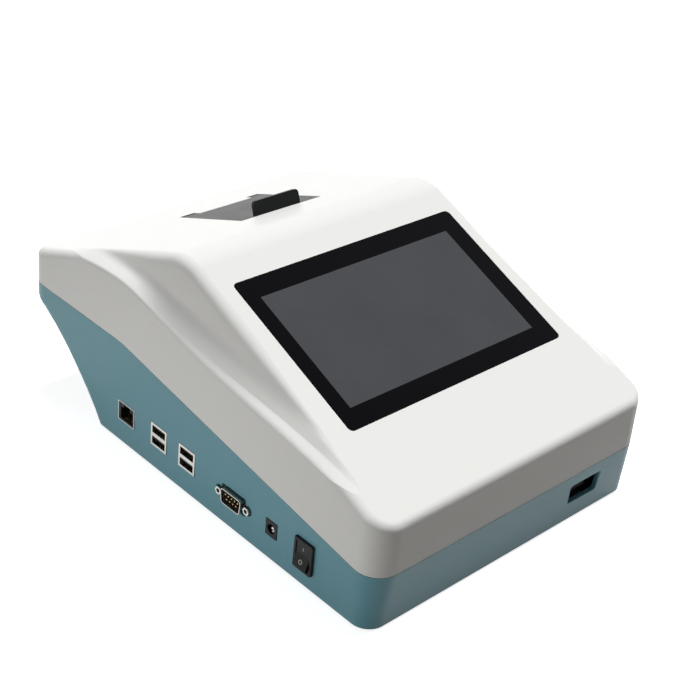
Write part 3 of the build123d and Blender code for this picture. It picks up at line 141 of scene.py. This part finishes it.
# Camera: a long lens above the front left corner, looking down at the connectors and the slope.
# It leans a little to one side, and its frame is shifted a little to the left.
film_width = 36.0
focal_length = 75.317
frame_shift = (-0.01675, -0.00108)
camera_place = (-0.566933, -0.555515, 0.541564)
camera_turn = (58.77986, -5.65809, -43.5797)

lens = bpy.data.cameras.new("camera")
lens.sensor_width = film_width
lens.lens = focal_length
lens.shift_x, lens.shift_y = frame_shift
camera = bpy.data.objects.new("camera", lens)
bpy.context.scene.collection.objects.link(camera)
camera.location = camera_place
camera.rotation_euler = [math.radians(angle) for angle in camera_turn]
bpy.context.scene.camera = camera
bpy.context.scene.view_settings.view_transform = "Standard"


# Housing shells: two injection-moulded halves with a fine spark-eroded texture, an off-white
# upper one and a dark teal lower one. They meet in a thin shadow gap, and screws join them from
# below.
relief_depth = 0.00005
noise_middle = 0.5


def surface_group(name, **settings):
    """An empty shader group with an input for each setting, and a colour, roughness and height."""
    group = bpy.data.node_groups.new(name, "ShaderNodeTree")
    for label, start in settings.items():
        kind = "NodeSocketColor" if isinstance(start, tuple) else "NodeSocketFloat"
        socket = group.interface.new_socket(name=label, in_out="INPUT", socket_type=kind)
        socket.default_value = start
    group.interface.new_socket(name="Color", in_out="OUTPUT", socket_type="NodeSocketColor")
    group.interface.new_socket(name="Roughness", in_out="OUTPUT", socket_type="NodeSocketFloat")
    group.interface.new_socket(name="Height", in_out="OUTPUT", socket_type="NodeSocketFloat")
    return group, group.nodes.new("NodeGroupInput"), group.nodes.new("NodeGroupOutput")


def own_place(tree):
    """The place of each point on the piece itself."""
    return part_of(tree, "ShaderNodeTexCoord").outputs["Object"]


def noise_over(tree, place, **settings):
    """A cloudy pattern over the piece, from 0 to 1."""
    return part_of(tree, "ShaderNodeTexNoise", Vector=place, **settings).outputs["Fac"]


def swing_of(tree, noise, share, middle=noise_middle):
    """How far a pattern strays from its middle, times a share."""
    return result_of(tree, "MULTIPLY", result_of(tree, "SUBTRACT", noise, middle), share)


def join_surface(tree, ins, outs, change, rubbed, height):
    """Ends a surface group: the colour by its change, roughness by a pattern, and the height."""
    tint = part_of(tree, "ShaderNodeVectorMath", ins.outputs["Color"])
    tint.operation = "SCALE"
    feed(tree, tint.inputs["Scale"], result_of(tree, "ADD", change, 1.0))
    scuff = swing_of(tree, rubbed, ins.outputs["Scuff"])
    feed(tree, outs.inputs["Color"], tint.outputs[0])
    feed(tree, outs.inputs["Roughness"], result_of(tree, "ADD", ins.outputs["Rough"], scuff))
    feed(tree, outs.inputs["Height"], height)


def bare_finish(name):
    """A new material, with its node tree and its shader."""
    made = bpy.data.materials.new(name)
    made.use_nodes = True
    return made, made.node_tree, made.node_tree.nodes["Principled BSDF"]


def finish_of(name, group, settings, bump=0.1, **plain):
    """A material whose colour, roughness and relief come from a surface group."""
    made, tree, shader = bare_finish(name)
    for label, value in plain.items():
        shader.inputs[label.replace("_", " ")].default_value = value
    surface = tree.nodes.new("ShaderNodeGroup")
    surface.node_tree = group
    for label, value in settings.items():
        surface.inputs[label].default_value = value
    height = surface.outputs["Height"]
    relief = part_of(tree, "ShaderNodeBump", Strength=bump, Distance=relief_depth, Height=height)
    feed(tree, shader.inputs["Base Color"], surface.outputs["Color"])
    feed(tree, shader.inputs["Roughness"], surface.outputs["Roughness"])
    feed(tree, shader.inputs["Normal"], relief.outputs["Normal"])
    return made


def wear(finish, *names):
    """Gives the named pieces their finish."""
    for name in names:
        piece = nodes[name]
        piece.data.materials.clear()
        piece.data.materials.append(finish)


moulded, ins, outs = surface_group(
    "moulded_surface", Color=(0.8, 0.8, 0.8, 1), Tone=0.03, Grain=2600.0, Rough=0.45, Scuff=0.05
)
place = own_place(moulded)
cloud = noise_over(moulded, place, Scale=14.0, Detail=3.0)
grain = noise_over(moulded, place, Scale=ins.outputs["Grain"], Detail=2.0)
smear = noise_over(moulded, place, Scale=55.0, Detail=5.0, Roughness=0.6)
tone = swing_of(moulded, cloud, ins.outputs["Tone"])
fleck = swing_of(moulded, grain, ins.outputs["Tone"])
join_surface(moulded, ins, outs, result_of(moulded, "ADD", tone, fleck), smear, grain)

white_shell = finish_of(
    "white_shell",
    moulded,
    {"Color": (0.84, 0.84, 0.82, 1), "Tone": 0.02, "Rough": 0.46, "Scuff": 0.06},
    bump=0.25,
    Specular_IOR_Level=0.35,
)
teal_shell = finish_of(
    "teal_shell",
    moulded,
    {"Color": (0.114, 0.290, 0.347, 1), "Tone": 0.06, "Rough": 0.44, "Scuff": 0.08},
    bump=0.25,
    Specular_IOR_Level=0.35,
)
wear(white_shell, "upper_housing")
wear(teal_shell, "lower_housing")


# Feet: four soft pads of moulded black rubber under the lower housing, dull and slightly dusty,
# set in its corners.
foot_rubber = finish_of(
    "foot_rubber",
    moulded,
    {"Color": (0.028, 0.028, 0.03, 1), "Tone": 0.2, "Rough": 0.8, "Scuff": 0.1},
    bump=0.5,
)
wear(foot_rubber, "rubber_feet")


# Screws and pillars: turned steel with bright plating. The housing's screws sit deep in wells in
# the underside, and the smaller ones hold the display, the printer and the boards.
metal, ins, outs = surface_group(
    "worked_metal", Color=(0.6, 0.6, 0.6, 1), Tone=0.08, Grain=900.0, Draw=1.0, Rough=0.3, Scuff=0.1
)
place = own_place(metal)
drawn = part_of(metal, "ShaderNodeCombineXYZ", 1.0, ins.outputs["Draw"], 1.0)
stretched = part_of(metal, "ShaderNodeVectorMath", place, drawn.outputs[0])
stretched.operation = "MULTIPLY"
lines = noise_over(metal, stretched.outputs[0], Scale=ins.outputs["Grain"], Detail=4.0)
stain = noise_over(metal, place, Scale=90.0, Detail=4.0)
join_surface(metal, ins, outs, swing_of(metal, stain, ins.outputs["Tone"]), lines, lines)

plated_screw = finish_of(
    "plated_screw",
    metal,
    {"Color": (0.56, 0.57, 0.58, 1), "Rough": 0.34, "Scuff": 0.2},
    Metallic=1.0,
)
wear(plated_screw, "housing_screws", "display_screws", "printer_screws")
wear(plated_screw, "board_screws", "board_standoffs")


# Touch glass: one flat sheet of hardened glass, printed black from behind round the display's own
# grey face, which is dark because the unit is off. Fingers have left it slightly smudged.
screen_half_width = 0.07704
screen_half_height = 0.04296
screen_middle = (0, -0.0555, 0.11473)
screen_tilt = (math.radians(22), 0, 0)
print_sharpness = 6000.0
print_dark, print_light = (0.0012, 0.0012, 0.0022, 1), (0.0022, 0.0022, 0.004, 1)
screen_dark, screen_light = (0.056, 0.058, 0.064, 1), (0.086, 0.088, 0.096, 1)
haze_share = 0.7
glass_rough = 0.07
screen_rough = 0.22
smudge_middle = 0.4
smudge_rough = 0.10


def blend_of(tree, share, first, second):
    """A colour between two others. A Mix node's colour sockets are its seventh and eighth."""
    node = tree.nodes.new("ShaderNodeMix")
    node.data_type = "RGBA"
    for index, value in ((0, share), (6, first), (7, second)):
        feed(tree, node.inputs[index], value)
    return node.outputs[2]


def depth_inside(tree, half_size, distance):
    """How far a point lies inside the screen's edge, from its distance to the middle."""
    return result_of(tree, "SUBTRACT", half_size, result_of(tree, "ABSOLUTE", distance))


glass, tree, shader = bare_finish("touch_glass")
shader.inputs["Specular IOR Level"].default_value = 0.04
place = own_place(tree)
on_slope = part_of(
    tree, "ShaderNodeMapping", Vector=place, Location=screen_middle, Rotation=screen_tilt
)
on_slope.vector_type = "TEXTURE"
axes = part_of(tree, "ShaderNodeSeparateXYZ", on_slope.outputs[0])
from_side = depth_inside(tree, screen_half_width, axes.outputs["X"])
from_end = depth_inside(tree, screen_half_height, axes.outputs["Y"])
inside = result_of(tree, "MINIMUM", from_side, from_end)
showing = result_of(tree, "MULTIPLY", inside, print_sharpness, clamp=True)
haze = noise_over(tree, place, Scale=26.0, Detail=6.0, Roughness=0.62)
cells = noise_over(tree, place, Scale=3000.0, Detail=1.0)
broad = result_of(tree, "MULTIPLY", haze, haze_share)
fine = result_of(tree, "MULTIPLY", cells, 1 - haze_share)
screen = blend_of(tree, result_of(tree, "ADD", broad, fine), screen_dark, screen_light)
border = blend_of(tree, haze, print_dark, print_light)
feed(tree, shader.inputs["Base Color"], blend_of(tree, showing, border, screen))
satin = result_of(tree, "ADD", result_of(tree, "MULTIPLY", showing, screen_rough), glass_rough)
smudge = swing_of(tree, haze, smudge_rough, smudge_middle)
feed(tree, shader.inputs["Roughness"], result_of(tree, "ADD", satin, smudge))
wear(glass, "touch_glass")


# Display: a liquid crystal panel in a pressed metal tray behind the glass, ringed with black foam
# tape and held by a screwed steel plate. The carriage motor's bracket and the printer motor's can
# are of the same sheet steel.
black_plastic = finish_of(
    "black_plastic",
    moulded,
    {"Color": (0.008, 0.008, 0.009, 1), "Tone": 0.3, "Rough": 0.40, "Scuff": 0.15},
    bump=0.3,
    Specular_IOR_Level=0.12,
)
module_back = finish_of(
    "module_back", metal, {"Color": (0.42, 0.42, 0.43, 1), "Rough": 0.4}, Metallic=0.8
)
sheet_steel = finish_of(
    "sheet_steel",
    metal,
    {"Color": (0.60, 0.61, 0.62, 1), "Draw": 0.05, "Rough": 0.36, "Scuff": 0.2},
    Metallic=1.0,
)
wear(black_plastic, "display_tape")
wear(module_back, "lcd_panel")
wear(sheet_steel, "display_bracket", "motor_bracket", "printer_motor")


# Printed boards: sheets of glass fibre with etched copper tracks under a green solder mask. The
# tracks stand up a little, and are paler than the mask between them.
board_gloss = 0.33
track_relief = 0.2
track_height = 0.0001

board, tree, shader = bare_finish("circuit_board")
shader.inputs["Roughness"].default_value = board_gloss
tracks = part_of(
    tree,
    "ShaderNodeTexBrick",
    Vector=own_place(tree),
    Color1=(0.016, 0.105, 0.045, 1),
    Color2=(0.012, 0.085, 0.036, 1),
    Mortar=(0.045, 0.20, 0.085, 1),
    Scale=160.0,
    Mortar_Size=0.035,
)
step = part_of(
    tree,
    "ShaderNodeBump",
    Strength=track_relief,
    Distance=track_height,
    Height=tracks.outputs["Fac"],
)
feed(tree, shader.inputs["Base Color"], tracks.outputs["Color"])
feed(tree, shader.inputs["Normal"], step.outputs["Normal"])
wear(board, "display_board", "main_board", "detector_board")


# Printer body: a black moulded frame with the paper bay, under a dark satin moulded lid that turns
# on two pins. A ceramic print head lies across the mouth of the bay.
lid_plastic = finish_of(
    "lid_plastic",
    moulded,
    {"Color": (0.004, 0.005, 0.005, 1), "Tone": 0.3, "Rough": 0.38, "Scuff": 0.12},
    bump=0.3,
    Specular_IOR_Level=0.13,
)
print_ceramic = finish_of(
    "print_ceramic",
    moulded,
    {"Color": (0.42, 0.36, 0.29, 1), "Tone": 0.1, "Rough": 0.3, "Scuff": 0.1},
)
wear(lid_plastic, "printer_lid")
wear(black_plastic, "printer_frame")
wear(print_ceramic, "print_head")


# Shafts, pins and rods: bright steel, ground round and smooth, for the printer and the card
# reader alike.
ground_steel = finish_of(
    "ground_steel",
    metal,
    {"Color": (0.66, 0.67, 0.68, 1), "Grain": 1400.0, "Rough": 0.22, "Scuff": 0.14},
    Metallic=1.0,
)
wear(ground_steel, "lid_hinge_pins", "platen_shaft", "idler_axle")
wear(ground_steel, "guide_rods", "lead_screw", "motor_shaft")


# Paper feed: a rubber platen on the lid, which white acetal gears turn from the small bronze
# pinion of the motor. The same bronze is turned into the bushes and the nut of the card carriage.
acetal = finish_of(
    "acetal",
    moulded,
    {"Color": (0.78, 0.76, 0.70, 1), "Tone": 0.04, "Rough": 0.38, "Scuff": 0.08},
    Subsurface_Weight=0.1,
)
platen_rubber = finish_of(
    "platen_rubber",
    moulded,
    {"Color": (0.035, 0.035, 0.036, 1), "Tone": 0.15, "Rough": 0.7, "Scuff": 0.1},
    bump=0.3,
)
bronze = finish_of(
    "bronze", metal, {"Color": (0.55, 0.36, 0.17, 1), "Rough": 0.38, "Scuff": 0.2}, Metallic=1.0
)
wear(acetal, "platen_gear", "idler_gear")
wear(platen_rubber, "platen_roller")
wear(bronze, "motor_pinion", "carriage_bushes", "lead_nut")


# Card reader: a dark moulded carriage on two rods, drawn in and out by a screw, with black
# moulded blocks, motor and optical head, all on a base of milled aluminium.
milled_aluminium = finish_of(
    "milled_aluminium",
    metal,
    {"Color": (0.70, 0.71, 0.72, 1), "Draw": 0.1, "Rough": 0.34, "Scuff": 0.2},
    Metallic=1.0,
)
carriage_plastic = finish_of(
    "carriage_plastic",
    moulded,
    {"Color": (0.03, 0.03, 0.034, 1), "Tone": 0.15, "Rough": 0.42, "Scuff": 0.12},
    bump=0.3,
)
wear(milled_aluminium, "reader_base", "screw_coupling", "optics_bracket", "processor_sink")
wear(carriage_plastic, "card_carriage")
wear(black_plastic, "rod_blocks", "screw_blocks", "carriage_motor", "home_switch", "optical_head")


# Objective lens: polished glass with a faint blue coating against reflections, pressed into the
# mouth of the optical head.
coating_deep, coating_pale = (0.80, 0.88, 0.97, 1), (0.90, 0.93, 0.99, 1)
lens_haze = 0.06

coated, tree, shader = bare_finish("coated_lens")
shader.inputs["Transmission Weight"].default_value = 0.9
shader.inputs["IOR"].default_value = 1.5
haze = noise_over(tree, own_place(tree), Scale=60.0)
feed(tree, shader.inputs["Base Color"], blend_of(tree, haze, coating_deep, coating_pale))
feed(tree, shader.inputs["Roughness"], result_of(tree, "MULTIPLY", haze, lens_haze))
wear(coated, "objective_lens")


# Connectors: folded and nickel-plated steel shells round black moulded inserts, with gold-plated
# pins pressed into them, their gold painted dark as painted shade. All stand along the edge of the
# main board.
nickel = finish_of(
    "nickel_shell",
    metal,
    {"Color": (0.47, 0.46, 0.43, 1), "Grain": 1600.0, "Rough": 0.26, "Scuff": 0.16},
    Metallic=1.0,
)
# The gold is painted much darker than bright plating. This is painted shade for the dim insides of
# the sockets where all these contacts sit.
shade_darkened_gold = finish_of(
    "gold_contact_darkened_for_shade",
    metal,
    {"Color": (0.42, 0.30, 0.13, 1), "Grain": 1600.0, "Rough": 0.3, "Scuff": 0.12},
    Metallic=1.0,
)
wear(nickel, "ethernet_shell", "usb_rear_shell", "usb_front_shell")
wear(nickel, "serial_shell", "jack_screws", "dc_inlet_pin")
wear(black_plastic, "ethernet_insert", "usb_rear_insert", "usb_front_insert")
wear(black_plastic, "serial_insert", "dc_inlet")
wear(shade_darkened_gold, "serial_pins", "switch_terminals")


# Network contacts: eight gold-plated spring wires that rise from the lower lip of the network
# socket's mouth and slope back into its moulded insert.
wire_count = 8
wire_pitch = 0.00102
wire_width, wire_height = 0.00042, 0.00032
wire_set_back = 0.0015
wire_above_floor = 0.0012
wire_runs = ((0.0012, 0, 0.0002), (0.0060, 0, 0.0024), (0.0040, 0, 0.0009))
wire_rounding = 0.00006


def pick(piece):
    """Selects one piece alone and makes it the active one."""
    bpy.ops.object.select_all(action="DESELECT")
    piece.select_set(True)
    bpy.context.view_layer.objects.active = piece


def close_up():
    """Turns all faces of the mesh being edited outwards and ends the editing."""
    bpy.ops.mesh.select_all(action="SELECT")
    bpy.ops.mesh.normals_make_consistent(inside=False)
    bpy.ops.object.mode_set(mode="OBJECT")


def drawn_bar(name, start, size, runs, lean=math.radians(-90)):
    """A bar of rectangular section: a face that looks along x, or leans, drawn through its runs."""
    bpy.ops.object.select_all(action="DESELECT")
    bpy.ops.mesh.primitive_plane_add(size=1, rotation=(0, lean, 0))
    bar = bpy.context.object
    bar.name = name
    bpy.ops.object.transform_apply(location=False, rotation=True, scale=False)
    bar.scale = size
    bar.location = start
    bpy.ops.object.transform_apply(location=True, rotation=False, scale=True)
    bpy.ops.object.mode_set(mode="EDIT")
    bpy.ops.mesh.select_all(action="SELECT")
    for run in runs:
        bpy.ops.mesh.extrude_region_move(TRANSFORM_OT_translate={"value": run})
    close_up()
    return bar


def soften(piece, width, segments):
    """Rounds off a piece's edges, as its tool leaves them."""
    bevel = piece.modifiers.new("rounding", "BEVEL")
    bevel.width = width
    bevel.segments = segments
    bevel.limit_method = "ANGLE"
    pick(piece)
    bpy.ops.object.modifier_apply(modifier=bevel.name)


def copied_along(piece, distances):
    """Copies a finished piece along y by each distance and joins the copies to it."""
    copies = []
    for distance in distances:
        pick(piece)
        bpy.ops.object.duplicate(linked=False)
        bpy.context.object.location = (0, distance, 0)
        copies.append(bpy.context.object)
    pick(piece)
    for copy in copies:
        copy.select_set(True)
    bpy.ops.object.join()
    bpy.ops.object.transform_apply(location=True)


def dress(piece, finish, body="reader"):
    """Gives a modelled piece its finish and the body that it moves with."""
    piece.data.materials.clear()
    piece.data.materials.append(finish)
    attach(piece, body)


low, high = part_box("ethernet_insert")
first_wire = (low.y + high.y) / 2 - wire_pitch * (wire_count - 1) / 2
network_contacts = drawn_bar(
    "network_contacts",
    (low.x + wire_set_back, first_wire, low.z + wire_above_floor),
    (1, wire_width, wire_height),
    wire_runs,
)
soften(network_contacts, wire_rounding, segments=1)
copied_along(network_contacts, [wire * wire_pitch for wire in range(1, wire_count)])
dress(network_contacts, shade_darkened_gold)


# USB contacts: four gold-plated leaves stamped from thin strip under each of the two tongues of a
# double socket, bowed down a little to meet the plug.
leaf_width, leaf_height = 0.0010, 0.00024
leaf_set_back = 0.0025
leaf_drop = 0.0001
leaf_runs = ((0.0018, 0, 0), (0.0014, 0, -0.0004), (0.0014, 0, 0.0004), (0.0050, 0, 0))
leaf_rounding = 0.00005
leaf_span = 0.0070
leaf_steps = (0.0025, 0.0045, leaf_span)
tongue_below_top = 0.0006
tongue_pitch = 0.0078
tongue_height = 0.0019

for insert in ("usb_rear_insert", "usb_front_insert"):
    low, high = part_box(insert)
    upper_tongue = high.z - tongue_below_top
    for level, tongue_top in (("upper", upper_tongue), ("lower", upper_tongue - tongue_pitch)):
        leaf_middle = tongue_top - tongue_height - leaf_drop
        leaves = drawn_bar(
            insert.replace("insert", "contacts_" + level),
            (low.x + leaf_set_back, (low.y + high.y - leaf_span) / 2, leaf_middle),
            (1, leaf_width, leaf_height),
            leaf_runs,
        )
        soften(leaves, leaf_rounding, segments=1)
        copied_along(leaves, leaf_steps)
        dress(leaves, shade_darkened_gold)


# Power inlet spring: a bent nickel-plated leaf in the floor of the inlet's bore, which presses on
# the plug's sleeve.
bore_radius = 0.0031
spring_width, spring_thickness = 0.0014, 0.0003
spring_set_back = 0.0015
spring_runs = (
    (0.0010, 0, 0.0009),
    (0.0012, 0, 0.0003),
    (0.0012, 0, -0.0003),
    (0.0040, 0, -0.0008),
)
spring_rounding = 0.00008

low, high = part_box("dc_inlet")
bore_floor = (low.z + high.z) / 2 - bore_radius
inlet_spring = drawn_bar(
    "inlet_spring",
    (low.x + spring_set_back, (low.y + high.y) / 2, bore_floor + spring_thickness),
    (1, spring_width, spring_thickness),
    spring_runs,
)
soften(inlet_spring, spring_rounding, segments=2)
dress(inlet_spring, nickel)


# Power switch: a moulded black bezel that snaps into the wall, and a black rocker in it. The off
# ring is pad-printed in white on the rocker's lower face, and the on bar on its upper one.
rocker_ridge = Vector((-0.11714, -0.1097, 0.02397))
lower_slant = math.radians(18.705)
upper_slant = math.radians(0.705)
paint_depth = 0.00006
ring_from_ridge = 0.00435
ring_radius = 0.00135
ring_sides = 48
bar_from_ridge = 0.0040
bar_length = 0.0022
stroke_width = 0.00036
ring_stroke = 0.00034
bar_rounding = 0.00003


def rocker_face(slant, side):
    """The directions off the ridge and outwards, for the upper (1) or lower (-1) face."""
    away = Vector((-math.sin(slant), 0, side * math.cos(slant)))
    out = Vector((-math.cos(slant), 0, -side * math.sin(slant)))
    return away, out


upper_up, upper_out = rocker_face(upper_slant, 1)
lower_down, lower_out = rocker_face(lower_slant, -1)
mark_paint = finish_of(
    "mark_paint",
    moulded,
    {"Color": (0.62, 0.62, 0.60, 1), "Tone": 0.1, "Rough": 0.5, "Scuff": 0.1},
)
wear(black_plastic, "switch_body", "switch_rocker")

bpy.ops.object.select_all(action="DESELECT")
bpy.ops.mesh.primitive_circle_add(
    vertices=ring_sides,
    radius=ring_radius,
    fill_type="NGON",
    location=rocker_ridge + lower_down * ring_from_ridge - lower_out * paint_depth,
    rotation=(0, math.atan2(lower_out.x, lower_out.z), 0),
)
off_ring = bpy.context.object
off_ring.name = "off_ring"
bpy.ops.object.transform_apply(location=True, rotation=True)
bpy.ops.object.mode_set(mode="EDIT")
bpy.ops.mesh.select_all(action="SELECT")
bpy.ops.mesh.inset(thickness=ring_stroke)
bpy.ops.mesh.delete(type="FACE")
bpy.ops.mesh.select_all(action="SELECT")
bpy.ops.mesh.extrude_region_move(TRANSFORM_OT_translate={"value": lower_out * 2 * paint_depth})
close_up()
dress(off_ring, mark_paint, "rocker")

# The bar's face leans, so it takes its length along x and z alike.
on_bar = drawn_bar(
    "on_bar",
    rocker_ridge + upper_up * bar_from_ridge - upper_out * paint_depth,
    (bar_length, stroke_width, bar_length),
    [upper_out * 2 * paint_depth],
    lean=math.atan2(upper_out.x, upper_out.z),
)
soften(on_bar, bar_rounding, segments=2)
dress(on_bar, mark_paint, "rocker")
